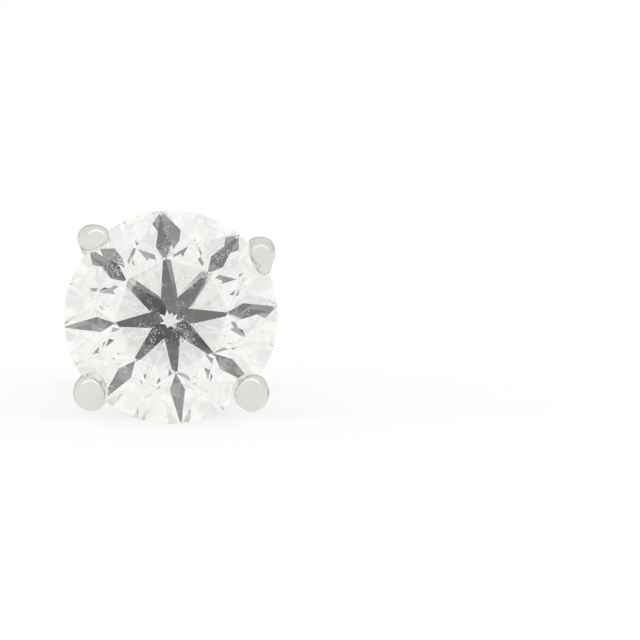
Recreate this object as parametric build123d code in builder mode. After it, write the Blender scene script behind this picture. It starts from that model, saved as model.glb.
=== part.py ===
from build123d import *

import os
from collections import namedtuple
from math import cos, radians, sin, tan

# A stud earring: one round brilliant stone in a four-prong setting with a friction post, and the
# butterfly clutch that holds it on the ear. It lies on its side, as it does off the ear.
#
# Each piece is made in the stud's own frame, in millimetres: +Z leaves the stone through its
# table, z = 0 is the middle of the girdle, and the post runs along -Z. At the end the three are
# laid down together: the girdle and the clutch touch z = 0, and the table faces -Y, a little up.

# ---- driving dimensions, in millimetres and degrees ------------------------------------------

# the stone: a round brilliant with a steep crown, a shallow pavilion and a thick girdle
STONE_DIAMETER = 6.5
TABLE_RATIO = 0.527  # the table's width from corner to corner, over the diameter
CROWN_ANGLE = 36.5
PAVILION_ANGLE = 40.0
GIRDLE_RATIO = 0.050  # the girdle's thickness at a main facet, over the diameter
STAR_LENGTH = 0.435  # how far a star facet reaches from the table's edge to the girdle
LOWER_HALF_LENGTH = 0.782  # how far a lower half reaches from the girdle to the culet
STONE_TURN = 5.4  # from the X axis to the nearest main facet
FOLD = 8  # main facets round the stone

# the prongs: where each stands round the stone, and the radii of its wire and its bead
Prong = namedtuple("Prong", "azimuth wire_radius bead_radius")
PRONGS = [
    Prong(azimuth=35.0, wire_radius=0.40, bead_radius=0.44),
    Prong(azimuth=135.0, wire_radius=0.42, bead_radius=0.47),
    Prong(azimuth=223.5, wire_radius=0.45, bead_radius=0.53),
    Prong(azimuth=316.5, wire_radius=0.46, bead_radius=0.56),
]
PRONG_FOOT = 1.95  # from the axis to the wire's centre at the base ring
PRONG_WAIST = 3.46  # from the axis to the wire's centre just under the girdle
PRONG_WAIST_HEIGHT = -0.30
BEAD_DISTANCE = 3.36  # from the axis to the bead's centre
BEAD_HEIGHT = 0.42
FOOT_BEND = 0.7
WAIST_BEND = 1.2
SEAT_GAP = 0.03  # between the stone and the seat cut for it in the prongs

# the base: two wire rings, and a round boss in the middle for the post
BASE_HEIGHT = -3.60
BASE_WIRE_RADIUS = 0.36
GALLERY_HEIGHT = -1.90
GALLERY_WIRE_RADIUS = 0.30
GALLERY_INSET = 0.16  # how far inside the prongs' centres the gallery ring runs
BOSS_RADIUS = 0.95
BOSS_TOP = -3.24
BOSS_BACK = -4.06

# the friction post
POST_RADIUS = 0.43
POST_LENGTH = 10.4
SOLDER_FILLET = 0.22
TIP_ROUND = 0.28
GROOVE_FROM_TIP = 1.35
GROOVE_HALF_WIDTH = 0.28
GROOVE_DEPTH = 0.08

# the clutch: an oval plate, and a strip that curls into a scroll on each side of the post
EAR_GAP = 5.0  # from the boss's back to the plate
SHEET = 0.32
PLATE_WIDTH = 4.6
PLATE_HEIGHT = 4.0
PLATE_CORNER = 1.35
STRIP_WIDTH = 2.8
SCROLL_CENTRE = 1.42  # from the axis to the centre of each scroll
OUTER_BEND = 1.12
INNER_BEND_END = 110.0  # where the strip ends on the inner bend, from the X axis
GRIP_GAP = 0.015
COUNTERSINK_RADIUS = 0.72

# laying the stud down
STEEPEST_REST = 14.0
ANGLE_STEP = 0.0005

# ---- worked out from them --------------------------------------------------------------------

STONE_RADIUS = STONE_DIAMETER / 2
GIRDLE_EDGE = GIRDLE_RATIO * STONE_DIAMETER / 2
TABLE_RADIUS = TABLE_RATIO * STONE_RADIUS
CROWN_RISE = tan(radians(CROWN_ANGLE))
PAVILION_DROP = tan(radians(PAVILION_ANGLE))
TABLE_HEIGHT = GIRDLE_EDGE + (STONE_RADIUS - TABLE_RADIUS) * CROWN_RISE
CULET_HEIGHT = -GIRDLE_EDGE - STONE_RADIUS * PAVILION_DROP
STEP_ANGLE = 360 / FOLD
MID_FACET = cos(radians(STEP_ANGLE / 2))
MID_HALF = cos(radians(STEP_ANGLE / 4))

# the lower corner of a star facet, and the corner where two lower halves meet
TABLE_EDGE = TABLE_RADIUS * MID_FACET
STAR_TIP = TABLE_EDGE + STAR_LENGTH * (STONE_RADIUS - TABLE_EDGE)
STAR_TIP_HEIGHT = GIRDLE_EDGE + (STONE_RADIUS - STAR_TIP * MID_FACET) * CROWN_RISE
HALF_TIP = STONE_RADIUS * (1 - LOWER_HALF_LENGTH)
HALF_TIP_HEIGHT = -GIRDLE_EDGE - (STONE_RADIUS - HALF_TIP * MID_FACET) * PAVILION_DROP

# the gallery ring follows the prongs' lean at its height
PRONG_RISE = (GALLERY_HEIGHT - BASE_HEIGHT) / (PRONG_WAIST_HEIGHT - BASE_HEIGHT)
GALLERY_RADIUS = PRONG_FOOT + PRONG_RISE * (PRONG_WAIST - PRONG_FOOT) - GALLERY_INSET

POST_END = BOSS_BACK - POST_LENGTH
GROOVE_HEIGHT = POST_END + GROOVE_FROM_TIP

PLATE_FRONT = BOSS_BACK - EAR_GAP
STRIP_MIDDLE = PLATE_FRONT - SHEET / 2
HOLE_RADIUS = POST_RADIUS + GRIP_GAP
INNER_BEND = SCROLL_CENTRE - HOLE_RADIUS - SHEET / 2
OUTER_CENTRE = STRIP_MIDDLE - OUTER_BEND
INNER_CENTRE = STRIP_MIDDLE - 2 * OUTER_BEND + INNER_BEND


# ---- the stone -------------------------------------------------------------------------------


def facet(azimuth, run, drop, distance, height):
    """The plane of a facet that faces out at azimuth. It passes at distance from the axis at
    height, and over each run outward it falls by drop, or on the pavilion rises by it."""
    turn = radians(azimuth)
    up = run if height > 0 else -run
    return Plane(
        origin=(distance * cos(turn), distance * sin(turn), height),
        z_dir=(drop * cos(turn), drop * sin(turn), up),
    )


def facets():
    """All the planes of the round brilliant: the table, then each step's mains, star and halves."""
    star_run = STAR_TIP - TABLE_EDGE
    star_drop = TABLE_HEIGHT - STAR_TIP_HEIGHT
    upper_run = (STONE_RADIUS - STAR_TIP) * MID_HALF
    upper_drop = STAR_TIP_HEIGHT - GIRDLE_EDGE
    lower_run = (STONE_RADIUS - HALF_TIP) * MID_HALF
    lower_drop = -GIRDLE_EDGE - HALF_TIP_HEIGHT
    chord = STONE_RADIUS * MID_HALF

    planes = [Plane.XY.offset(TABLE_HEIGHT)]
    for step in range(FOLD):
        main = STONE_TURN + step * STEP_ANGLE
        star = main + STEP_ANGLE / 2
        planes.append(facet(main, 1, CROWN_RISE, STONE_RADIUS, GIRDLE_EDGE))
        planes.append(facet(main, 1, PAVILION_DROP, STONE_RADIUS, -GIRDLE_EDGE))
        planes.append(facet(star, star_run, star_drop, TABLE_EDGE, TABLE_HEIGHT))
        for side in (-1, 1):
            half = main + side * STEP_ANGLE / 4
            planes.append(facet(half, upper_run, upper_drop, chord, GIRDLE_EDGE))
            planes.append(facet(half, lower_run, lower_drop, chord, -GIRDLE_EDGE))
    return planes


# a round blank, cut back to one facet after another
with BuildPart() as stone:
    with BuildSketch(Plane.XY.offset(CULET_HEIGHT)):
        Circle(STONE_RADIUS)
    extrude(amount=TABLE_HEIGHT - CULET_HEIGHT)
    for plane in facets():
        split(bisect_by=plane, keep=Keep.BOTTOM)


# ---- the setting -----------------------------------------------------------------------------

# what the bur leaves free for the stone: the stone's outline, turned, and a little more
SEAT_OUTLINE = [
    (0, CULET_HEIGHT - SEAT_GAP),
    (HALF_TIP + SEAT_GAP, HALF_TIP_HEIGHT - SEAT_GAP),
    (STONE_RADIUS + SEAT_GAP, -GIRDLE_EDGE - SEAT_GAP),
    (STONE_RADIUS + SEAT_GAP, GIRDLE_EDGE + SEAT_GAP),
    (STAR_TIP + SEAT_GAP, STAR_TIP_HEIGHT + SEAT_GAP),
    (TABLE_RADIUS + SEAT_GAP, TABLE_HEIGHT + SEAT_GAP),
    (0, TABLE_HEIGHT + SEAT_GAP),
]

with BuildPart() as setting:
    # the boss and the post, with a solder fillet between them and a groove near the tip
    with BuildSketch(Plane.XZ):
        with BuildLine():
            Polyline(
                (POST_RADIUS - TIP_ROUND, POST_END),
                (0, POST_END),
                (0, BOSS_TOP),
                (BOSS_RADIUS, BOSS_TOP),
                (BOSS_RADIUS, BOSS_BACK),
                (POST_RADIUS + SOLDER_FILLET, BOSS_BACK),
            )
            RadiusArc(
                (POST_RADIUS + SOLDER_FILLET, BOSS_BACK),
                (POST_RADIUS, BOSS_BACK - SOLDER_FILLET),
                -SOLDER_FILLET,
            )
            Polyline(
                (POST_RADIUS, BOSS_BACK - SOLDER_FILLET),
                (POST_RADIUS, GROOVE_HEIGHT + GROOVE_HALF_WIDTH),
                (POST_RADIUS - GROOVE_DEPTH, GROOVE_HEIGHT),
                (POST_RADIUS, GROOVE_HEIGHT - GROOVE_HALF_WIDTH),
                (POST_RADIUS, POST_END + TIP_ROUND),
            )
            RadiusArc(
                (POST_RADIUS, POST_END + TIP_ROUND),
                (POST_RADIUS - TIP_ROUND, POST_END),
                TIP_ROUND,
            )
        make_face()
    revolve(axis=Axis.Z)

    # the base ring and the gallery ring
    with Locations((0, 0, BASE_HEIGHT)):
        Torus(PRONG_FOOT, BASE_WIRE_RADIUS)
    with Locations((0, 0, GALLERY_HEIGHT)):
        Torus(GALLERY_RADIUS, GALLERY_WIRE_RADIUS)

    # each prong is a wire that leaves the boss, turns up at the base ring, leans out past the
    # girdle and turns in over the crown, where it ends in a bead
    for prong in PRONGS:
        turn = radians(prong.azimuth)
        upright = Plane(
            origin=(0, 0, 0), x_dir=(cos(turn), sin(turn), 0), z_dir=(sin(turn), -cos(turn), 0)
        )
        with BuildLine(upright) as route:
            FilletPolyline(
                (BOSS_RADIUS / 2, BASE_HEIGHT),
                (PRONG_FOOT, BASE_HEIGHT),
                (PRONG_WAIST, PRONG_WAIST_HEIGHT),
                (BEAD_DISTANCE, BEAD_HEIGHT),
                radius=(FOOT_BEND, WAIST_BEND),
            )
        with BuildSketch(Plane(origin=route.line @ 0, z_dir=route.line % 0)):
            Circle(prong.wire_radius)
        sweep()
        with Locations(upright.from_local_coords((BEAD_DISTANCE, BEAD_HEIGHT, 0))):
            Sphere(prong.bead_radius)

    # the notches that the girdle sits in
    with BuildSketch(Plane.XZ):
        with BuildLine():
            Polyline(*SEAT_OUTLINE, close=True)
        make_face()
    revolve(axis=Axis.Z, mode=Mode.SUBTRACT)


# ---- the clutch ------------------------------------------------------------------------------

with BuildPart() as clutch:
    with BuildSketch(Plane.XY.offset(PLATE_FRONT)):
        RectangleRounded(PLATE_WIDTH, PLATE_HEIGHT, PLATE_CORNER)
    extrude(amount=-SHEET)

    # each scroll is one strip: along the plate, round the outer bend, and back in to the post
    with BuildSketch(Plane.XZ):
        with BuildLine():
            Line((0, STRIP_MIDDLE), (SCROLL_CENTRE, STRIP_MIDDLE))
            CenterArc((SCROLL_CENTRE, OUTER_CENTRE), OUTER_BEND, 90, -180)
            CenterArc((SCROLL_CENTRE, INNER_CENTRE), INNER_BEND, -90, INNER_BEND_END - 270)
        trace(line_width=SHEET)
        mirror(about=Plane.YZ)
    extrude(amount=STRIP_WIDTH / 2, both=True)

    with Locations((0, 0, PLATE_FRONT)):
        CounterSinkHole(HOLE_RADIUS, COUNTERSINK_RADIUS, depth=SHEET)


# ---- laying the stud down --------------------------------------------------------------------


def lying(angle):
    """The turn that points the table along -Y, and up by angle."""
    return Rotation(90 - angle, 0, 0)


def lowest(piece, angle):
    return piece.moved(lying(angle)).bounding_box().min.Z


# the angle at which the stone in front and the clutch behind reach equally low, by halving
flatter = 0.0
steeper = STEEPEST_REST
while steeper - flatter > ANGLE_STEP:
    rest_angle = (flatter + steeper) / 2
    if lowest(clutch.part, rest_angle) < lowest(stone.part, rest_angle):
        steeper = rest_angle
    else:
        flatter = rest_angle

# the floor is at z = 0, and the middle of the stud's length is at y = 0
pieces = {"stone": stone, "setting_with_post": setting, "butterfly_clutch": clutch}
turned = Compound([piece.part.moved(lying(rest_angle)) for piece in pieces.values()])
extent = turned.bounding_box()
laid = Location((0, -extent.center().Y, -extent.min.Z)) * lying(rest_angle)
print("rest angle", round(rest_angle, 3))

os.makedirs("parts", exist_ok=True)
for name, piece in pieces.items():
    piece.part.move(laid)
    piece.part.label = name
    export_step(piece.part, f"parts/{name}.step")
    print(name, "volume", round(piece.part.volume, 3), piece.part.bounding_box())
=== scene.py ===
from collections import namedtuple
from math import atan2, cos, degrees, radians, sin, tan

import bmesh
import bpy
import numpy as np
from mathutils import Matrix, Vector


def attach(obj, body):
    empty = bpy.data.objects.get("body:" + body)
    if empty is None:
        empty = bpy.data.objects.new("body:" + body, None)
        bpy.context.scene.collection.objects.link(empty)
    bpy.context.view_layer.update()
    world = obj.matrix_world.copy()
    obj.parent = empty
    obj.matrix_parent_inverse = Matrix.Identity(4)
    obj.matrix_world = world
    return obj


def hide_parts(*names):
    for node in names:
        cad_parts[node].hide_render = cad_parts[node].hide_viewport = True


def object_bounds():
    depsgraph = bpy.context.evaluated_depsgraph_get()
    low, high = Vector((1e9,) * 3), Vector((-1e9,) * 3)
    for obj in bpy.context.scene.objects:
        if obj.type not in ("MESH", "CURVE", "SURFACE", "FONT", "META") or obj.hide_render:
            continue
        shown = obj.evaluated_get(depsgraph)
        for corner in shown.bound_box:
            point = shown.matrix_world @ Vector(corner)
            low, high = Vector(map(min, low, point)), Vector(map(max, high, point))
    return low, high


# The looks of one stud earring: a round brilliant in a four-prong setting with a friction post and
# a butterfly clutch. Shapes are made in the stud's own frame, in millimetres, as in the CAD model:
# +Z leaves the stone through its table, z = 0 is the middle of the girdle, and the post runs
# along -Z. placed() then lays them where the CAD stone lies.

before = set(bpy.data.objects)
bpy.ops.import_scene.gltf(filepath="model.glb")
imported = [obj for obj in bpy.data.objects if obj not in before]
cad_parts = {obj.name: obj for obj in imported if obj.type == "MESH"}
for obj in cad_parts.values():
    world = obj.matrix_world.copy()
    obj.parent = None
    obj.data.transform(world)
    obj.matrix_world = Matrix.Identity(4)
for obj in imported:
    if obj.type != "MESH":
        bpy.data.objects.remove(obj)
cad_low, cad_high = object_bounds()

MM = 0.001

# ---- dimensions, in millimetres and degrees, as in the CAD model -------------------------------

STONE_RADIUS = 3.25
TABLE_RATIO = 0.527
CROWN_ANGLE = 36.5
PAVILION_ANGLE = 40.0
GIRDLE_RATIO = 0.050
STAR_LENGTH = 0.435
LOWER_HALF_LENGTH = 0.782
STONE_TURN = 5.4
FOLD = 8

SEAT_GAP = 0.03
BASE_HEIGHT = -3.60
BASE_WIRE_RADIUS = 0.36
GALLERY_HEIGHT = -1.90
GALLERY_RADIUS = 2.57
GALLERY_WIRE_RADIUS = 0.30
BOSS_RADIUS = 0.95
BOSS_TOP = -3.24
BOSS_BACK = -4.06

POST_RADIUS = 0.43
POST_END = -14.46
GROOVE_HEIGHT = -13.11
GROOVE_HALF_WIDTH = 0.28
GROOVE_DEPTH = 0.08

PLATE_FRONT = -9.06
SHEET = 0.32
PLATE_WIDTH = 4.6
PLATE_HEIGHT = 4.0
PLATE_CORNER = 1.35
STRIP_WIDTH = 2.8
SCROLL_CENTRE = 1.42
OUTER_BEND = 1.12
INNER_BEND = 0.815
INNER_MIDDLE = 190  # the middle of the inner bend, from the X axis
INNER_HALF = 80  # and half its angle
HOLE_RADIUS = 0.445
COUNTERSINK_RADIUS = 0.72
COUNTERSINK_ANGLE = 41

# how round the edges are, and how wide the fillets of the solder joints
BOSS_EDGE = 0.12
POST_EDGE = 0.24
GROOVE_EDGE = 0.06
SEAT_EDGE = 0.03
FILED_EDGE = 0.06
PLATE_EDGE = 0.11
STRIP_EDGE = 0.09
HOLE_EDGE = 0.06
POST_FILLET = 0.30
BASE_FILLET = 0.10
BEAD_FILLET = 0.10
PRONG_FILLET = 0.16
GALLERY_FILLET = 0.14
STRIP_FILLET = 0.12
BEAD_CREASE = 0.04

# ---- the prongs --------------------------------------------------------------------------------

# Each prong ends in a bead that was pushed over the stone: drops between balls, from the side that
# is nearer the stone or lower to the bead's front. Some beads were filed flat on a side.
Ball = namedtuple("Ball", "x y z radius")
Filed = namedtuple("Filed", "facing distance")  # a flat side: its facing in degrees from the X axis
Prong = namedtuple("Prong", "azimuth foot_radius wire_radius balls filed")
PRONGS = [
    Prong(
        azimuth=35.0,
        foot_radius=0.36,
        wire_radius=0.37,
        balls=[
            Ball(2.580, 2.160, 0.26, 0.265),
            Ball(2.738, 2.030, 0.33, 0.410),
            Ball(2.730, 1.870, 0.52, 0.430),
            Ball(2.790, 1.525, 0.46, 0.278),
        ],
        filed=[Filed(180, -2.352), Filed(206.4, -2.918)],
    ),
    Prong(
        azimuth=135.0,
        foot_radius=0.36,
        wire_radius=0.40,
        balls=[
            Ball(-2.145, 2.440, 0.40, 0.270),
            Ball(-2.420, 2.366, 0.36, 0.425),
            Ball(-2.280, 2.330, 0.48, 0.440),
            Ball(-2.550, 2.060, 0.26, 0.200),
        ],
        filed=[Filed(-61.4, -2.865)],
    ),
    Prong(
        azimuth=223.5,
        foot_radius=0.38,
        wire_radius=0.43,
        balls=[
            Ball(-2.400, -2.180, 0.38, 0.500),
            Ball(-2.445, -2.290, 0.50, 0.520),
            Ball(-2.442, -2.352, 0.25, 0.530),
        ],
        filed=[],
    ),
    Prong(
        azimuth=316.5,
        foot_radius=0.38,
        wire_radius=0.43,
        balls=[
            Ball(2.360, -2.205, 0.38, 0.510),
            Ball(2.400, -2.260, 0.50, 0.540),
            Ball(2.420, -2.336, 0.25, 0.570),
        ],
        filed=[Filed(232.4, 0.895)],
    ),
]

# the line that each prong's wire follows, as distances from the stud's axis and heights
PRONG_FOOT = 1.95
PRONG_WAIST = 3.40
PRONG_WAIST_HEIGHT = -0.30
BEAD_DISTANCE = 3.34
BEAD_HEIGHT = 0.36
FOOT_BEND = 0.7
WAIST_BEND = 1.2
PRONG_LINE = [
    (BOSS_RADIUS / 2, BASE_HEIGHT),
    (PRONG_FOOT, BASE_HEIGHT),
    (PRONG_WAIST, PRONG_WAIST_HEIGHT),
    (BEAD_DISTANCE, BEAD_HEIGHT),
]

# ---- the stone's corners, from its proportions -------------------------------------------------

STEP_ANGLE = 360 / FOLD
MID_FACET = cos(radians(STEP_ANGLE / 2))
MID_HALF = cos(radians(STEP_ANGLE / 4))
CROWN_RISE = tan(radians(CROWN_ANGLE))
PAVILION_DROP = tan(radians(PAVILION_ANGLE))
GIRDLE_EDGE = GIRDLE_RATIO * STONE_RADIUS
TABLE_RADIUS = TABLE_RATIO * STONE_RADIUS
TABLE_HEIGHT = GIRDLE_EDGE + (STONE_RADIUS - TABLE_RADIUS) * CROWN_RISE
TABLE_EDGE = TABLE_RADIUS * MID_FACET
CULET_HEIGHT = -GIRDLE_EDGE - STONE_RADIUS * PAVILION_DROP
STAR_TIP = TABLE_EDGE + STAR_LENGTH * (STONE_RADIUS - TABLE_EDGE)
STAR_TIP_HEIGHT = GIRDLE_EDGE + (STONE_RADIUS - STAR_TIP * MID_FACET) * CROWN_RISE
HALF_TIP = STONE_RADIUS * (1 - LOWER_HALF_LENGTH)
HALF_TIP_HEIGHT = -GIRDLE_EDGE - (STONE_RADIUS - HALF_TIP * MID_FACET) * PAVILION_DROP

# the room that is kept free for the stone in the prongs, as a turned outline
SEAT = [
    (0, CULET_HEIGHT - SEAT_GAP),
    (HALF_TIP + SEAT_GAP, HALF_TIP_HEIGHT - SEAT_GAP),
    (STONE_RADIUS + SEAT_GAP, -GIRDLE_EDGE - SEAT_GAP),
    (STONE_RADIUS + SEAT_GAP, GIRDLE_EDGE + SEAT_GAP),
    (STAR_TIP + SEAT_GAP, STAR_TIP_HEIGHT + SEAT_GAP),
    (TABLE_RADIUS + SEAT_GAP, TABLE_HEIGHT + SEAT_GAP),
    (0, TABLE_HEIGHT + SEAT_GAP),
]


# ---- where the stud lies -----------------------------------------------------------------------


def largest_plane(mesh):
    """The normal and the middle of the flat face with the most area: the stone's table."""
    area, middle = {}, {}
    for face in mesh.polygons:
        key = tuple(round(part, 2) for part in face.normal)
        area[key] = area.get(key, 0) + face.area
        middle[key] = middle.get(key, Vector()) + face.center * face.area
    best = max(area, key=area.get)
    same = [face for face in mesh.polygons if (face.normal - Vector(best)).length < 0.02]
    normal = sum((face.normal * face.area for face in same), Vector()).normalized()
    return normal, middle[best] / area[best]


def turned(x, y, z):
    """The rotation that lays the axes along x, y and z."""
    return Matrix([[x[i], y[i], z[i]] for i in range(3)])


def linked(name, mesh):
    """An object of a mesh, in the scene."""
    thing = bpy.data.objects.new(name, mesh)
    bpy.context.scene.collection.objects.link(thing)
    return thing


stud_axis, table_middle = largest_plane(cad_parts["stone"].data)
stud_right = Vector((1, 0, 0))
stud_up = stud_axis.cross(stud_right).normalized()
stud_origin = table_middle - stud_axis * TABLE_HEIGHT * MM
to_row = Matrix.Translation(stud_origin) @ turned(stud_right, stud_up, stud_axis).to_4x4()


def placed(name, mesh):
    """An object of a mesh made in the stud's frame, laid where the CAD stud lies."""
    mesh.transform(to_row @ Matrix.Scale(MM, 4))
    return linked(name, mesh)


# ---- distance fields ---------------------------------------------------------------------------


def joined(a, b, blend):
    """The union of two fields, with a fillet about as wide as blend."""
    share = np.clip(0.5 + 0.5 * (b - a) / blend, 0, 1)
    return b + (a - b) * share - blend * share * (1 - share)


def cut(a, b, blend):
    """Field a without field b, with the edge rounded."""
    return -joined(-a, b, blend)


def rounded(thickness, outline, edge):
    """The field of a sheet, from the distances through it and across it, with rounded edges."""
    a, b = thickness + edge, outline + edge
    outside = np.hypot(np.maximum(a, 0), np.maximum(b, 0))
    return np.minimum(np.maximum(a, b), 0) + outside - edge


def line_distance(u, v, a, b):
    """From the line between a and b."""
    along_u, along_v = b[0] - a[0], b[1] - a[1]
    t = ((u - a[0]) * along_u + (v - a[1]) * along_v) / (along_u**2 + along_v**2)
    t = np.clip(t, 0, 1)
    return np.hypot(u - a[0] - t * along_u, v - a[1] - t * along_v)


def arc_distance(u, v, centre, radius, middle, half):
    """From an arc round centre. middle is the direction of its middle, half its half angle."""
    du, dv = u - centre[0], v - centre[1]
    reach = np.hypot(du, dv)
    turn = du * cos(radians(middle)) + dv * sin(radians(middle))
    inside = turn >= reach * cos(radians(half))
    ends = [
        (centre[0] + radius * cos(radians(middle + s)), centre[1] + radius * sin(radians(middle + s)))
        for s in (-half, half)
    ]
    to_end = np.minimum(*[np.hypot(u - e[0], v - e[1]) for e in ends])
    return np.where(inside, np.abs(reach - radius), to_end)


def bent_distance(u, v, corners, bends):
    """From a line through corners, with each inner corner bent to a radius."""
    nearest = None
    start = Vector(corners[0])
    for i, bend in enumerate(bends, 1):
        corner, before, after = Vector(corners[i]), Vector(corners[i - 1]), Vector(corners[i + 1])
        back, on = (before - corner).normalized(), (after - corner).normalized()
        opening = back.angle(on)
        reach = bend / tan(opening / 2)
        towards = (back + on).normalized()
        centre = corner + towards * (bend / sin(opening / 2))
        middle = degrees(atan2(-towards.y, -towards.x))
        found = np.minimum(
            line_distance(u, v, start, corner + back * reach),
            arc_distance(u, v, centre, bend, middle, 90 - degrees(opening) / 2),
        )
        nearest = found if nearest is None else np.minimum(nearest, found)
        start = corner + on * reach
    return np.minimum(nearest, line_distance(u, v, start, corners[-1]))


def polygon_distance(u, v, corners):
    """The signed distance from a closed outline, negative inside."""
    nearest = np.full(u.shape, 1e9)
    inside = np.zeros(u.shape, bool)
    for a, b in zip(corners, corners[1:] + corners[:1]):
        nearest = np.minimum(nearest, line_distance(u, v, a, b))
        crosses = (a[1] > v) != (b[1] > v)
        rise = b[1] - a[1] if b[1] != a[1] else 1
        inside ^= crosses & (u < a[0] + (v - a[1]) * (b[0] - a[0]) / rise)
    return np.where(inside, -nearest, nearest)


def drop_distance(x, y, z, a, b):
    """From a drop between two balls of different sizes."""
    step = np.array([b.x - a.x, b.y - a.y, b.z - a.z])
    t = ((x - a.x) * step[0] + (y - a.y) * step[1] + (z - a.z) * step[2]) / (step @ step)
    t = np.clip(t, 0, 1)
    away = np.sqrt(
        (x - a.x - t * step[0]) ** 2 + (y - a.y - t * step[1]) ** 2 + (z - a.z - t * step[2]) ** 2
    )
    return away - (a.radius + t * (b.radius - a.radius))


def bead_distance(x, y, z, prong):
    """From drops between each ball and the next, with a slight crease between them, filed flat."""
    balls = prong.balls
    bead = drop_distance(x, y, z, balls[0], balls[1])
    for a, b in zip(balls[1:], balls[2:]):
        bead = joined(bead, drop_distance(x, y, z, a, b), BEAD_CREASE)
    for filed in prong.filed:
        facing = radians(filed.facing)
        beyond = filed.distance - x * cos(facing) - y * sin(facing)
        bead = cut(bead, beyond, FILED_EDGE)
    return bead


def eased(low, high, value):
    """A smooth step from 0 to 1 as value goes from low to high."""
    t = np.clip((value - low) / (high - low), 0, 1)
    return t * t * (3 - 2 * t)


# ---- meshes from distance fields ---------------------------------------------------------------

COARSE = 4  # fine steps to a coarse cell
NEAR = 1.05  # a coarse cell is looked at when the surface is nearer than this many of them
SLOPE_STEP = 0.4  # the step over which a slope is measured, in fine steps
LONGEST_MOVE = 0.5  # how far a point moves at most at a time, in fine steps
LEAST_SLOPE = 0.25  # a squared slope is taken to be at least this
EVENING = 0.5  # how far a point moves to the middle of its neighbours
CORNERS = [(i, j, k) for i in (0, 1) for j in (0, 1) for k in (0, 1)]


def spread(grid):
    """A coarse grid's values, each repeated for its fine cells."""
    for axis in range(3):
        grid = np.repeat(grid, COARSE, axis)
    return grid


def block(grid, start, size):
    """The part of a grid from start on, as many cells each way as size says."""
    return grid[tuple(slice(start[i], start[i] + size[i]) for i in range(3))]


def sampled(field, low, high, step):
    """The field on a fine grid: exact near the surface, and by coarse cells elsewhere."""
    cells = np.ceil((np.array(high) - low) / (step * COARSE)).astype(int)
    middles = [low[i] + (np.arange(cells[i]) + 0.5) * step * COARSE for i in range(3)]
    rough = field(*np.meshgrid(*middles, indexing="ij"))
    near = spread(np.abs(rough) < step * COARSE * NEAR)

    wanted = np.zeros(cells * COARSE + 1, bool)
    for corner in CORNERS:
        here = block(wanted, corner, near.shape)
        here |= near
    values = np.empty(wanted.shape, np.float32)
    values[:-1, :-1, :-1] = spread(rough)
    values[-1], values[:, -1], values[:, :, -1] = 1, 1, 1
    at = np.nonzero(wanted)
    values[at] = field(*[low[i] + at[i] * step for i in range(3)])
    return values


def crossed_cells(values):
    """The cells that the surface crosses, numbered on the grid, and a point in each: the mean of
    where it crosses the cell's edges, in fine steps from the grid's corner."""
    inside = values < 0
    size = np.array(values.shape) - 1
    count = sum(block(inside, corner, size).astype(np.int8) for corner in CORNERS)
    cell = np.array(np.nonzero((count > 0) & (count < len(CORNERS))))
    number = np.full(size, -1)
    number[tuple(cell)] = np.arange(cell.shape[1])

    total = np.zeros(cell.shape)
    hits = np.zeros(cell.shape[1])
    for a in CORNERS:
        for axis in range(3):
            if a[axis]:
                continue
            b = tuple(a[i] + (i == axis) for i in range(3))
            va = values[tuple(cell[i] + a[i] for i in range(3))]
            vb = values[tuple(cell[i] + b[i] for i in range(3))]
            crossed = (va < 0) != (vb < 0)
            t = np.where(crossed, va / np.where(crossed, va - vb, 1), 0)
            for i in range(3):
                total[i] += np.where(crossed, cell[i] + a[i] + (t if i == axis else 0), 0)
            hits += crossed
    return number, total / hits


def crossing_quads(values, number):
    """A quad for each grid edge that the surface crosses, between the four cells round the edge."""
    inside = values < 0
    size = number.shape
    quads = []
    for axis in range(3):
        u, v = (axis + 1) % 3, (axis + 2) % 3
        here = [slice(1, size[i]) for i in range(3)]
        here[axis] = slice(0, size[axis])
        there = list(here)
        there[axis] = slice(1, size[axis] + 1)
        a, b = inside[tuple(here)], inside[tuple(there)]
        for out, order in ((a & ~b, 1), (~a & b, -1)):
            edge = np.array(np.nonzero(out))
            edge[u] += 1
            edge[v] += 1
            around = []
            for du, dv in ((1, 1), (0, 1), (0, 0), (1, 0)):
                c = edge.copy()
                c[u] -= du
                c[v] -= dv
                around.append(number[tuple(c)])
            quads.append(np.array(around[::order]).T)
    return np.concatenate(quads)


def slope(field, points, reach):
    """How the field rises along each axis at the points."""
    found = np.empty_like(points)
    for i in range(3):
        forward, back = points.copy(), points.copy()
        forward[:, i] += reach
        back[:, i] -= reach
        found[:, i] = (field(*forward.T) - field(*back.T)) / (2 * reach)
    return found


def settled(field, points, step):
    """The points, moved twice towards the surface where the field is zero."""
    for _ in range(2):
        g = slope(field, points, SLOPE_STEP * step)
        move = field(*points.T)[:, None] * g / np.maximum((g**2).sum(1), LEAST_SLOPE)[:, None]
        reach = np.linalg.norm(move, axis=1)[:, None]
        points = points - move * np.minimum(1, LONGEST_MOVE * step / np.maximum(reach, 1e-9))
    return points


def evened(points, quads):
    """The points, moved part of the way to the middle of their neighbours."""
    around, count = np.zeros_like(points), np.zeros(len(points))
    for i in range(4):
        a, b = quads[:, i], quads[:, (i + 1) % 4]
        for axis in range(3):
            around[:, axis] += np.bincount(a, points[b, axis], len(points))
            around[:, axis] += np.bincount(b, points[a, axis], len(points))
        count += np.bincount(a, minlength=len(points)) + np.bincount(b, minlength=len(points))
    return points + EVENING * (around / count[:, None] - points)


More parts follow.
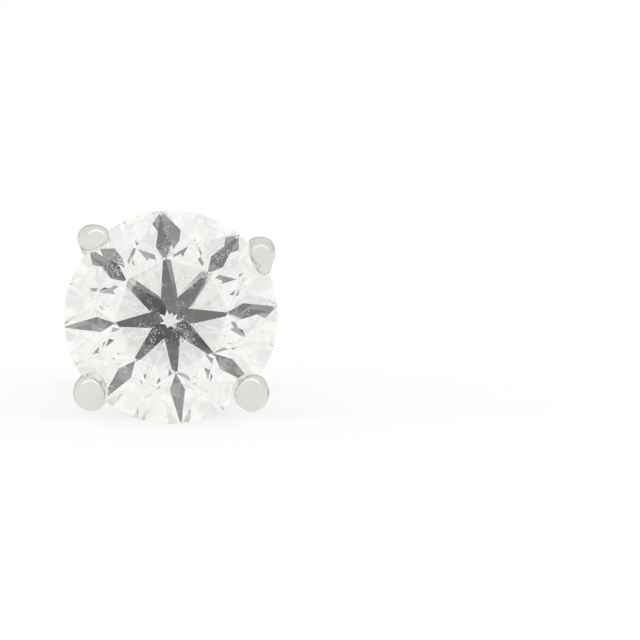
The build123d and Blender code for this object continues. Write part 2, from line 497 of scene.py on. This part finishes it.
def skin(name, field, low, high, step):
    """The surface where field is zero, as a mesh of quads: one point in each cell that it crosses,
    all evened out and moved onto it."""
    low = np.array(low, float)
    values = sampled(field, low, high, step)
    number, points = crossed_cells(values)
    quads = crossing_quads(values, number)
    points = settled(field, (low[:, None] + points * step).T, step)
    for _ in range(2):
        points = settled(field, evened(points, quads), step)

    mesh = bpy.data.meshes.new(name)
    mesh.from_pydata(points.tolist(), [], quads.tolist())
    mesh.polygons.foreach_set("use_smooth", [True] * len(mesh.polygons))
    mesh.update()
    return mesh


# ---- the stone ---------------------------------------------------------------------------------

BLANK_SIDES = 192
BLANK_MARGIN = 0.5  # how far the blank passes the table and the culet
NOTHING = 1e-7  # shorter than this is no length
SAME_CORNER = 1e-4  # corners nearer than this are one


def facet(azimuth, run, drop, distance, height):
    """The outward normal of a facet and a point on it, as in the CAD model."""
    turn = radians(azimuth)
    up = run if height > 0 else -run
    normal = Vector((drop * cos(turn), drop * sin(turn), up)).normalized()
    return normal, Vector((distance * cos(turn), distance * sin(turn), height))


def facets():
    """The planes of all facets, as normals and points."""
    star_run = STAR_TIP - TABLE_EDGE
    star_drop = TABLE_HEIGHT - STAR_TIP_HEIGHT
    upper_run = (STONE_RADIUS - STAR_TIP) * MID_HALF
    upper_drop = STAR_TIP_HEIGHT - GIRDLE_EDGE
    lower_run = (STONE_RADIUS - HALF_TIP) * MID_HALF
    lower_drop = -GIRDLE_EDGE - HALF_TIP_HEIGHT
    chord = STONE_RADIUS * MID_HALF

    planes = [(Vector((0, 0, 1)), Vector((0, 0, TABLE_HEIGHT)))]
    for step in range(FOLD):
        main = STONE_TURN + step * STEP_ANGLE
        star = main + STEP_ANGLE / 2
        planes.append(facet(main, 1, CROWN_RISE, STONE_RADIUS, GIRDLE_EDGE))
        planes.append(facet(main, 1, PAVILION_DROP, STONE_RADIUS, -GIRDLE_EDGE))
        planes.append(facet(star, star_run, star_drop, TABLE_EDGE, TABLE_HEIGHT))
        for side in (-1, 1):
            half = main + side * STEP_ANGLE / 4
            planes.append(facet(half, upper_run, upper_drop, chord, GIRDLE_EDGE))
            planes.append(facet(half, lower_run, lower_drop, chord, -GIRDLE_EDGE))
    return planes


def cut_back(outlines, normal, point):
    """Cut a convex solid, given as the outlines of its faces, by a plane and close it there."""
    kept, rim = [], []
    for outline in outlines:
        depth = [(corner - point) @ normal for corner in outline]
        remains = []
        for i, corner in enumerate(outline):
            if (depth[i - 1] > NOTHING) != (depth[i] > NOTHING):
                share = depth[i - 1] / (depth[i - 1] - depth[i])
                remains.append(outline[i - 1] + (corner - outline[i - 1]) * share)
            if depth[i] <= NOTHING:
                remains.append(corner)
        rim += [corner for corner in remains if abs((corner - point) @ normal) <= NOTHING]
        if len(remains) > 2 and min(depth) < -NOTHING:
            kept.append(remains)
    if len(kept) == len(outlines) and not rim:
        return kept
    middle = sum(rim) / len(rim)
    u = np.cross(normal, [0, 1, 0] if abs(normal[1]) < 0.7 else [1, 0, 0])
    v = np.cross(normal, u)
    rim.sort(key=lambda corner: atan2((corner - middle) @ v, (corner - middle) @ u))
    cap = [c for i, c in enumerate(rim) if np.linalg.norm(c - rim[i - 1]) > NOTHING]
    return kept + [cap] if len(cap) > 2 else kept


def brilliant(name):
    """The stone: a round blank cut back to one facet after another, each one flat."""
    turns = [radians(STONE_TURN + 360 * i / BLANK_SIDES) for i in range(BLANK_SIDES)]
    upper, lower = [
        [np.array([STONE_RADIUS * cos(turn), STONE_RADIUS * sin(turn), height]) for turn in turns]
        for height in (TABLE_HEIGHT + BLANK_MARGIN, CULET_HEIGHT - BLANK_MARGIN)
    ]
    outlines = [[lower[i - 1], lower[i], upper[i], upper[i - 1]] for i in range(BLANK_SIDES)]
    outlines += [upper, lower[::-1]]
    for normal, point in facets():
        outlines = cut_back(outlines, np.array(normal), np.array(point))

    bm = bmesh.new()
    for outline in outlines:
        bm.faces.new([bm.verts.new(corner) for corner in outline])
    bmesh.ops.remove_doubles(bm, verts=bm.verts[:], dist=SAME_CORNER)
    bmesh.ops.recalc_face_normals(bm, faces=bm.faces[:])
    for face in bm.faces:
        on_girdle = abs(face.normal.z) < 0.01
        face.smooth = on_girdle
        face.material_index = 1 if on_girdle else 0
    for edge in bm.edges:
        edge.smooth = all(face.smooth for face in edge.link_faces)
    mesh = bpy.data.meshes.new(name)
    bm.to_mesh(mesh)
    bm.free()
    return mesh


# ---- the setting -------------------------------------------------------------------------------


def rod(away, z, low, high, radius, edge):
    """A round rod along the stud's axis, with rounded ends."""
    return rounded(np.abs(z - (high + low) / 2) - (high - low) / 2, away - radius, edge)


def setting_field(x, y, z):
    away = np.hypot(x, y)

    # the boss, and the post with its groove and rounded tip, soldered on with a fillet
    boss = rod(away, z, BOSS_BACK, BOSS_TOP, BOSS_RADIUS, BOSS_EDGE)
    post = rod(away, z, POST_END, BOSS_TOP, POST_RADIUS, POST_EDGE)
    groove_round = (GROOVE_HALF_WIDTH**2 + GROOVE_DEPTH**2) / (2 * GROOVE_DEPTH)
    groove = np.hypot(away - POST_RADIUS + GROOVE_DEPTH - groove_round, z - GROOVE_HEIGHT)
    post = cut(post, groove - groove_round, GROOVE_EDGE)
    solid = joined(boss, post, POST_FILLET)

    # the base ring
    base = np.hypot(away - PRONG_FOOT, z - BASE_HEIGHT) - BASE_WIRE_RADIUS
    solid = joined(solid, base, BASE_FILLET)

    # the prongs: wires that leave the boss, turn up at the base ring and lean out to the girdle
    for prong in PRONGS:
        turn = radians(prong.azimuth)
        out = x * cos(turn) + y * sin(turn)
        side = -x * sin(turn) + y * cos(turn)
        thicker = eased(BASE_HEIGHT, PRONG_WAIST_HEIGHT, z)
        thickness = prong.foot_radius + (prong.wire_radius - prong.foot_radius) * thicker
        route = bent_distance(out, z, PRONG_LINE, (FOOT_BEND, WAIST_BEND))
        wire = np.hypot(route, side) - thickness
        bead = bead_distance(x, y, z, prong)
        solid = joined(solid, joined(wire, bead, BEAD_FILLET), PRONG_FILLET)

    # the gallery ring
    gallery = np.hypot(away - GALLERY_RADIUS, z - GALLERY_HEIGHT) - GALLERY_WIRE_RADIUS
    solid = joined(solid, gallery, GALLERY_FILLET)

    # the notches that the girdle sits in, cut with a bur
    return cut(solid, polygon_distance(away, z, SEAT), SEAT_EDGE)


# ---- the clutch --------------------------------------------------------------------------------


def clutch_field(x, y, z):
    strip_middle = PLATE_FRONT - SHEET / 2
    outer = (SCROLL_CENTRE, strip_middle - OUTER_BEND)
    inner = (SCROLL_CENTRE, strip_middle - 2 * OUTER_BEND + INNER_BEND)
    sideways = np.abs(x)

    # the plate, with its corners and its edge rounded
    u = sideways - PLATE_WIDTH / 2 + PLATE_CORNER
    v = np.abs(y) - PLATE_HEIGHT / 2 + PLATE_CORNER
    outline = np.hypot(np.maximum(u, 0), np.maximum(v, 0)) + np.minimum(np.maximum(u, v), 0)
    plate = rounded(np.abs(z - strip_middle) - SHEET / 2, outline - PLATE_CORNER, PLATE_EDGE)

    # each scroll: a strip along the plate, round the outer bend and back in to the post
    path = np.minimum(
        line_distance(sideways, z, (0, strip_middle), (SCROLL_CENTRE, strip_middle)),
        np.minimum(
            arc_distance(sideways, z, outer, OUTER_BEND, 0, 90),
            arc_distance(sideways, z, inner, INNER_BEND, INNER_MIDDLE, INNER_HALF),
        ),
    )
    strip = rounded(path - SHEET / 2, np.abs(y) - STRIP_WIDTH / 2, STRIP_EDGE)
    solid = joined(plate, strip, STRIP_FILLET)

    # the hole through plate and strip, countersunk from the front
    away = np.hypot(x, y)
    flare = tan(radians(COUNTERSINK_ANGLE))
    throat = PLATE_FRONT - (COUNTERSINK_RADIUS - HOLE_RADIUS) / flare
    sink = (away - HOLE_RADIUS - (z - throat) * flare) * cos(radians(COUNTERSINK_ANGLE))
    hole = np.minimum(away - HOLE_RADIUS, sink)
    hole = np.maximum(hole, PLATE_FRONT - SHEET - 0.1 - z)
    return cut(solid, hole, HOLE_EDGE)


# ---- materials ---------------------------------------------------------------------------------

DIAMOND_IOR = 2.417

# Painted shade: the metal's colour is darker from the girdle back, under and behind the stone, by
# the depth along Y in millimetres from which this begins and at which it has its full share.
SHADE_START_DEPTH = -6.5
SHADE_FULL_DEPTH = -5.3
SHADE_SHARE = 0.9


class Nodes:
    """A short way to add nodes to a material's or the world's tree and link them."""

    def __init__(self, owner):
        owner.use_nodes = True
        self.tree = owner.node_tree
        self.tree.nodes.clear()

    def add(self, kind, settings=None, **inputs):
        node = self.tree.nodes.new("ShaderNode" + kind)
        for name, value in (settings or {}).items():
            setattr(node, name, value)
        for name, value in inputs.items():
            self.put(node, name, value)
        return node

    def put(self, node, name, value):
        """Set or link an input, named by its name or by _ and its number."""
        socket = node.inputs[int(name[1:])] if name[0] == "_" else node.inputs[name]
        if isinstance(value, bpy.types.NodeSocket):
            self.tree.links.new(value, socket)
        elif isinstance(value, bpy.types.Node):
            self.tree.links.new(value.outputs[0], socket)
        else:
            socket.default_value = value

    def math(self, operation, a, b=0.0):
        return self.add("Math", {"operation": operation}, _0=a, _1=b).outputs[0]

    def vector(self, operation, a, b):
        """A number from two vectors: their dot product or their distance."""
        node = self.add("VectorMath", {"operation": operation}, _0=a, _1=b)
        return node.outputs["Value"]

    def depth(self, place):
        """How far along Y a place is, in millimetres."""
        return self.math("DIVIDE", self.add("SeparateXYZ", Vector=place).outputs["Y"], MM)

    def ramp(self, value, start, end, before, after):
        """A smooth step from before to after as value goes from start to end."""
        smooth = {"interpolation_type": "SMOOTHSTEP"}
        node = self.add("MapRange", smooth, _0=value, _1=start, _2=end, _3=before, _4=after)
        return node.outputs[0]

    def mix(self, share, a, b):
        """Colour a, with colour b in its share."""
        node = self.add("Mix", {"data_type": "RGBA"}, _0=share, _6=a, _7=b)
        return node.outputs[2]

    def finish(self, surface):
        self.add("OutputMaterial", Surface=surface)


def grey(value):
    return (value, value, value, 1.0)


def diamond():
    """A clear stone. Patches of fine grains of dust and wax on its facets bend the light a little,
    so that the dark facets are flecked with light."""
    material = bpy.data.materials.new("brilliant")
    n = Nodes(material)
    place = n.add("TexCoord").outputs["Object"]
    grains = n.add("TexVoronoi", {"feature": "F1"}, Vector=place, Scale=15000.0)
    patches = n.add("TexNoise", Vector=place, Scale=1500.0, Detail=3.0)
    reach = n.ramp(patches.outputs[0], 0.44, 0.76, -0.10, 0.40)
    inside = n.math("SUBTRACT", grains.outputs["Distance"], reach)
    grain = n.ramp(inside, -0.16, 0.02, 1.0, 0.0)
    flecks = n.add("Bump", Strength=1.0, Distance=0.0032 * MM, Height=grain)
    shader = n.add("BsdfPrincipled", Roughness=0.0, IOR=DIAMOND_IOR, Normal=flecks)
    n.put(shader, "Base Color", n.mix(grain, (1.0, 1.0, 1.0, 1.0), (0.93, 0.93, 0.92, 1.0)))
    n.put(shader, "Transmission Weight", 1.0)
    n.finish(shader)
    return material


def frosted_girdle():
    """The stone's edge, ground and not polished."""
    material = bpy.data.materials.new("frosted_girdle")
    n = Nodes(material)
    place = n.add("TexCoord").outputs["Object"]
    grain = n.add("TexNoise", Vector=place, Scale=26000.0, Detail=3.0)
    rough = n.ramp(grain.outputs[0], 0.3, 0.7, 0.22, 0.42)
    bump = n.add("Bump", Strength=0.25, Distance=0.02 * MM, Height=grain.outputs[0])
    shader = n.add("BsdfPrincipled", Roughness=rough, IOR=DIAMOND_IOR, Normal=bump)
    tone = n.mix(grain.outputs[0], (0.97, 0.97, 0.96, 1.0), (1.0, 1.0, 1.0, 1.0))
    n.put(shader, "Base Color", tone)
    n.put(shader, "Transmission Weight", 1.0)
    n.finish(shader)
    return material


def white_gold(name, tone, shaded_tone, low_rough, high_rough, brushing):
    """Polished white gold: nearly mirror bright, with a soft unevenness from polishing, fine
    wiping scratches, patches of a duller film, and painted shade that darkens it from the girdle
    back."""
    material = bpy.data.materials.new(name)
    n = Nodes(material)
    place = n.add("TexCoord").outputs["Object"]
    cloud = n.add("TexNoise", Vector=place, Scale=900.0, Detail=4.0, Roughness=0.6)
    stretched = n.add("Mapping", Vector=place, Scale=brushing)
    lines = n.add("TexNoise", Vector=stretched, Scale=5200.0, Detail=3.0, Roughness=0.7)
    rough = n.ramp(cloud.outputs[0], 0.35, 0.70, low_rough, high_rough)
    streak = n.ramp(lines.outputs[0], 0.55, 0.75, 0.0, 0.05)
    rough = n.math("ADD", rough, streak)
    dull = (tone[0] * 0.96, tone[1] * 0.955, tone[2] * 0.945, 1.0)
    film = n.ramp(cloud.outputs[0], 0.45, 0.75, 0.0, 1.0)
    colour = n.mix(film, tone, dull)
    # painted shade: the colour darkens from the girdle back, under and behind the stone
    painted_shade = n.ramp(n.depth(place), SHADE_START_DEPTH, SHADE_FULL_DEPTH, 0.0, SHADE_SHARE)
    colour = n.mix(painted_shade, colour, shaded_tone)
    wave = n.add("Bump", Strength=0.10, Distance=0.02 * MM, Height=lines.outputs[0])
    shader = n.add("BsdfPrincipled", Roughness=rough, Normal=wave, Metallic=1.0)
    n.put(shader, "Base Color", colour)
    n.finish(shader)
    return material


# ---- the pieces --------------------------------------------------------------------------------

SKIN_STEP = 0.05
SETTING_LOW, SETTING_HIGH = (-3.96, -3.97, -14.62), (3.95, 3.95, 1.2)
CLUTCH_LOW, CLUTCH_HIGH = (-3.3, -2.2, -12.2), (3.3, 2.2, -8.9)

stone = placed("brilliant_stone", brilliant("brilliant_stone"))
stone.data.materials.append(diamond())
stone.data.materials.append(frosted_girdle())

setting = placed(
    "prong_setting", skin("prong_setting", setting_field, SETTING_LOW, SETTING_HIGH, SKIN_STEP)
)
setting.data.materials.append(
    white_gold(
        "polished_white_gold",
        tone=(0.91, 0.90, 0.88, 1.0),
        # the colour that the painted shade darkens the setting to, from the girdle back
        shaded_tone=(0.800, 0.793, 0.775, 1.0),
        low_rough=0.05,
        high_rough=0.11,
        brushing=(1.0, 1.0, 0.25),
    )
)

clutch = placed(
    "butterfly_back", skin("butterfly_back", clutch_field, CLUTCH_LOW, CLUTCH_HIGH, SKIN_STEP)
)
clutch.data.materials.append(
    white_gold(
        "stamped_white_gold",
        tone=(0.85, 0.84, 0.82, 1.0),
        # the colour that the painted shade darkens the clutch to, from the girdle back
        shaded_tone=(0.835, 0.826, 0.806, 1.0),
        low_rough=0.09,
        high_rough=0.17,
        brushing=(0.2, 1.0, 1.0),
    )
)

for piece, node, slot in (
    (stone, "stone", "stone"),
    (setting, "setting_with_post", "setting_metal"),
    (clutch, "butterfly_clutch", "clutch_metal"),
):
    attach(piece, "root")
    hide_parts(node)

# ---- the camera --------------------------------------------------------------------------------

CAMERA_DROP = 2.6  # the camera stands this far below the stud's axis, in degrees
CAMERA_SWING = -1.05  # and this far to the right of it, so here a little to the left
CAMERA_DISTANCE = 160 * MM
SENSOR_WIDTH = 36
FRAME_WIDTH = 19.53 * MM  # what the frame takes in at the stone
STUD_RIGHT = -4.548 * MM  # how far right of the frame's middle the stone's middle is
STUD_UP = 0.092 * MM  # and how far above it

drop, swing = radians(CAMERA_DROP), radians(CAMERA_SWING)
to_camera = (
    stud_right * sin(swing) * cos(drop) - stud_up * sin(drop) + stud_axis * cos(swing) * cos(drop)
).normalized()
camera_data = bpy.data.cameras.new("camera")
camera = linked("camera", camera_data)
camera_data.sensor_width = SENSOR_WIDTH
camera_data.lens = SENSOR_WIDTH * CAMERA_DISTANCE / FRAME_WIDTH
camera_data.clip_start, camera_data.clip_end = 0.01, 10.0
camera.location = stud_origin + to_camera * CAMERA_DISTANCE

# the stone's middle is left of the frame's middle, so the camera looks past it to the right
right = stud_up.cross(to_camera).normalized()
up = to_camera.cross(right)
target = stud_origin - right * STUD_RIGHT - up * STUD_UP
look = (target - camera.location).normalized()
side = look.cross(up).normalized()
camera.rotation_mode = "QUATERNION"
camera.rotation_quaternion = turned(side, side.cross(look), -look).to_quaternion()
bpy.context.scene.camera = camera

# ---- the studio --------------------------------------------------------------------------------

# The stud stands in a white tent. The camera sees white, the metal and the stone see what follows,
# and everything else is lit by plain white.
WHITE = grey(1.0)
AHEAD = (0.985, 0.987, 0.962, 1.0)  # what the stone sees of the tent in front of it
BEHIND = grey(0.40)  # and behind it
STONE_EDGE = 0.05  # how soft the change between the two is, as a cosine
TENT = (0.827, 0.826, 0.808, 1.0)  # what the metal sees of the tent in front

# The other parts of the tent that the metal sees, each over the ones before. A part's fades are
# multiplied: each goes by how far a direction points ahead to the camera, above in the picture or
# across it, as a cosine.
Fade = namedtuple("Fade", "start end before after", defaults=(0.0, 1.0))
Part = namedtuple("Part", "tone fades")
TENT_PARTS = [
    # the sides and the back
    Part((0.765, 0.768, 0.755, 1.0), [("ahead", Fade(0.35, -0.50))]),
    Part((0.600, 0.602, 0.595, 1.0), [("ahead", Fade(-0.50, -0.90))]),
    # a bright strip high in front, which fades upward
    Part(
        grey(1.12),
        [
            ("ahead", Fade(0.36, 0.30)),
            ("ahead", Fade(0.08, 0.20, before=0.35)),
            ("ahead", Fade(-0.12, 0.06)),
            ("above", Fade(0.42, 0.55)),
            ("across", Fade(0.84, 0.68)),
        ],
    ),
    # a dark opening behind the stud, and a pale panel in it
    Part(grey(0.30), [("ahead", Fade(-0.90, -0.95))]),
    Part(grey(1.0), [("ahead", Fade(-0.97, -0.985)), ("above", Fade(0.03, 0.08))]),
]

# The table and the crown's main facets mirror small darker places of the tent, this dark.
TABLE_SHEEN = 0.15
CROWN_SHEEN = 0.50
SHEEN_FADE = Fade(cos(radians(1.2)), cos(radians(0.9)))
MAIN_MIDDLE = 0.8  # where a main facet's middle is, as a share of the stone's radius

# The camera's front as the stone sees it, on a card at CARD_DISTANCE, in millimetres: its glass,
# the dark ring round that and the dim opening of the tent.
CARD_DISTANCE = 100.0
CARD_RIM = 1.4  # the card's size, as a multiple of the opening's
CARD_SOFT = 0.6
Circle = namedtuple("Circle", "right up radius tone")
GLASS = Circle(right=0.9, up=0.7, radius=11.7, tone=0.14)
RING = Circle(right=-0.65, up=4.7, radius=17.8, tone=0.005)
OPENING = Circle(right=-0.65, up=4.7, radius=33.3, tone=0.22)
CLUTTER = Fade(0.50, 0.70, after=0.12)  # how noise lightens it

# The floor, by how far back from the stud's front a place is, in millimetres: how much of the light
# it catches, how much at least under the stud as the metal sees it, and where painted shadow makes
# it darker for the metal and painted shade makes it darker for the stone.
FLOOR_RADIUS = 6.0  # in metres
CATCHING = Fade(1.5, 5.0, 0.11, 0.40)
SHADED = Fade(2.5, 5.0, after=0.75)
# painted shadow: where the floor gets darker for the metal, under and behind the stud
PAINTED_SHADOW_FOR_METAL = Fade(3.5, 9.0)
# painted shade: where the floor gets darker for the stone, behind its front
PAINTED_SHADE_FOR_STONE = Fade(1.2, 2.4)
UNDER_STUD = Fade(8.0, 12.0, 1.0, 0.0)  # by the distance from a place behind the origin
UNDER_STUD_MIDDLE = 4.5
# the tone of the painted shadow that the metal sees on the floor
PAINTED_SHADOW_TONE = grey(0.40)
DISC_SIDES = 128

# dark cards behind the stone, each a corner and two edges from it, in millimetres
Flag = namedtuple("Flag", "name corner along up")
FLAGS = [
    Flag("flag_left", corner=(-6.5, 4.0, 3.6), along=(0, 10, 0), up=(0.4, 0, 1.6)),
    Flag("flag_right", corner=(6.5, 4.0, 3.6), along=(0, 10, 0), up=(-0.4, 0, 1.6)),
    Flag("flag_top", corner=(-0.8, 5.0, 9.0), along=(0, 10, 0), up=(1.6, 0, 0)),
]
FLAG_TONE = 0.40


def by_ray(n, metal, glass):
    """White, but one colour for what metal reflects and one for what is seen through the stone."""
    rays = n.add("LightPath").outputs
    colour = n.mix(rays["Is Glossy Ray"], WHITE, metal)
    colour = n.mix(rays["Is Transmission Ray"], colour, glass)
    return n.mix(rays["Is Camera Ray"], colour, WHITE)


def disc(name, radius):
    """A flat disc."""
    bm = bmesh.new()
    bmesh.ops.create_circle(bm, cap_ends=True, segments=DISC_SIDES, radius=radius)
    mesh = bpy.data.meshes.new(name)
    bm.to_mesh(mesh)
    bm.free()
    return linked(name, mesh)


def hide(card, *rays):
    """Hide a card from kinds of ray."""
    for ray in rays:
        setattr(card, "visible_" + ray, False)


def mirrored_places():
    """Where the table and the crown's main facets mirror the camera to, and how dark it is there."""
    seen = [(stud_axis, stud_origin + stud_axis * TABLE_HEIGHT * MM, TABLE_SHEEN)]
    lean = radians(CROWN_ANGLE)
    for k in range(FOLD):
        turn = radians(STONE_TURN + k * STEP_ANGLE)
        out = stud_right * cos(turn) + stud_up * sin(turn)
        normal = out * sin(lean) + stud_axis * cos(lean)
        seen.append((normal, stud_origin + out * STONE_RADIUS * MAIN_MIDDLE * MM, CROWN_SHEEN))
    for normal, place, tone in seen:
        back = (camera.location - place).normalized()
        yield 2 * back.dot(normal) * normal - back, tone


def studio_world():
    """The tent, in one colour for each kind of ray."""
    world = bpy.data.worlds.new("studio")
    bpy.context.scene.world = world
    n = Nodes(world)
    direction = n.add("TexCoord").outputs["Generated"]

    def towards(axis):
        return n.vector("DOT_PRODUCT", direction, tuple(axis))

    leaning = {
        "ahead": towards(to_camera),
        "above": towards(up),
        "across": n.math("ABSOLUTE", towards(right)),
    }
    metal = TENT
    for part in TENT_PARTS:
        share = 1.0
        for axis, fade in part.fades:
            share = n.math("MULTIPLY", share, n.ramp(leaning[axis], *fade))
        metal = n.mix(share, metal, part.tone)
    for place, tone in mirrored_places():
        metal = n.mix(n.ramp(towards(place), *SHEEN_FADE), metal, grey(tone))

    in_front = n.ramp(towards(stud_axis), -STONE_EDGE, STONE_EDGE, 0.0, 1.0)
    glass = n.mix(in_front, BEHIND, AHEAD)
    background = n.add("Background", Color=by_ray(n, metal, glass), Strength=1.0)
    n.add("OutputWorld", Surface=background)


def floor():
    """A wide pale floor. Most of its white is its own, and the rest is light that it catches, so
    that the shadow stays. Behind the stone it catches more. Painted shadow makes it darker under and
    behind the stud as the metal sees it, and painted shade behind the stone as the stone sees it."""
    sheet = disc("floor", FLOOR_RADIUS)
    material = bpy.data.materials.new("floor")
    n = Nodes(material)
    rays = n.add("LightPath").outputs
    place = n.add("TexCoord").outputs["Object"]
    depth = n.depth(place)
    front = cad_low[1] / MM

    def back_from_front(fade):
        return n.ramp(depth, front + fade.start, front + fade.end, fade.before, fade.after)

    from_middle = n.vector("DISTANCE", place, (0, UNDER_STUD_MIDDLE * MM, 0))
    under = n.ramp(n.math("DIVIDE", from_middle, MM), *UNDER_STUD)
    shaded = n.math("MULTIPLY", under, rays["Is Glossy Ray"])
    shaded = n.math("MULTIPLY", shaded, back_from_front(SHADED))
    caught = n.math("MAXIMUM", back_from_front(CATCHING), shaded)
    # painted shadow: the floor as the metal sees it, darker under and behind the stud
    darker = n.math("MULTIPLY", under, back_from_front(PAINTED_SHADOW_FOR_METAL))
    metal = n.mix(darker, TENT, PAINTED_SHADOW_TONE)
    # painted shade: the floor as the stone sees it, darker behind the stone's front
    glass = n.mix(back_from_front(PAINTED_SHADE_FOR_STONE), AHEAD, BEHIND)
    colour = by_ray(n, metal, glass)
    own = n.add("Emission", Color=colour, Strength=1.0)
    catching = n.add("BsdfDiffuse", Color=colour)
    n.finish(n.add("MixShader", _0=caught, _1=own, _2=catching))
    sheet.data.materials.append(material)


def lens_card():
    """A card with the camera's front on it, clear outside the tent's opening. Only the stone
    sees it."""
    card = disc("lens_card", OPENING.radius * CARD_RIM)
    card.location = stud_origin + to_camera * CARD_DISTANCE * MM
    card.scale = (MM, MM, MM)
    card.rotation_mode = "QUATERNION"
    card.rotation_quaternion = turned(right, up, to_camera).to_quaternion()
    material = bpy.data.materials.new("lens_card")
    n = Nodes(material)
    place = n.add("TexCoord").outputs["Object"]

    def outside(circle):
        away = n.vector("DISTANCE", place, (circle.right, circle.up, 0))
        inner, outer = circle.radius - CARD_SOFT / 2, circle.radius + CARD_SOFT / 2
        return n.ramp(away, inner, outer, 0.0, 1.0)

    tone = n.mix(outside(GLASS), grey(GLASS.tone), grey(RING.tone))
    tone = n.mix(outside(RING), tone, grey(OPENING.tone))
    clutter = n.add("TexNoise", Vector=place, Scale=0.10, Detail=2.0)
    tone = n.mix(n.ramp(clutter.outputs[0], *CLUTTER), tone, WHITE)
    light = n.add("Emission", Color=tone)
    clear = n.add("BsdfTransparent")
    n.finish(n.add("MixShader", _0=outside(OPENING), _1=light, _2=clear))
    card.data.materials.append(material)
    hide(card, "camera", "diffuse", "glossy", "shadow")


def flags():
    """Dark cards behind the stone, for thin dark outlines on the beads. Only reflections see them."""
    material = bpy.data.materials.new("flag")
    n = Nodes(material)
    n.finish(n.add("Emission", Color=grey(FLAG_TONE)))
    for flag in FLAGS:
        corner, along, wide = (Vector(part) * MM for part in flag[1:])
        corners = [corner, corner + along, corner + along + wide, corner + wide]
        mesh = bpy.data.meshes.new(flag.name)
        mesh.from_pydata(corners, [], [(0, 1, 2, 3)])
        mesh.materials.append(material)
        card = linked(flag.name, mesh)
        hide(card, "camera", "diffuse", "transmission", "shadow")


studio_world()
floor()
lens_card()
flags()

scene = bpy.context.scene
scene.view_settings.view_transform = "Standard"
scene.cycles.max_bounces = 24
scene.cycles.transmission_bounces = 24
scene.cycles.glossy_bounces = 24
scene.cycles.transparent_max_bounces = 16
scene.cycles.caustics_reflective = True
scene.cycles.caustics_refractive = True
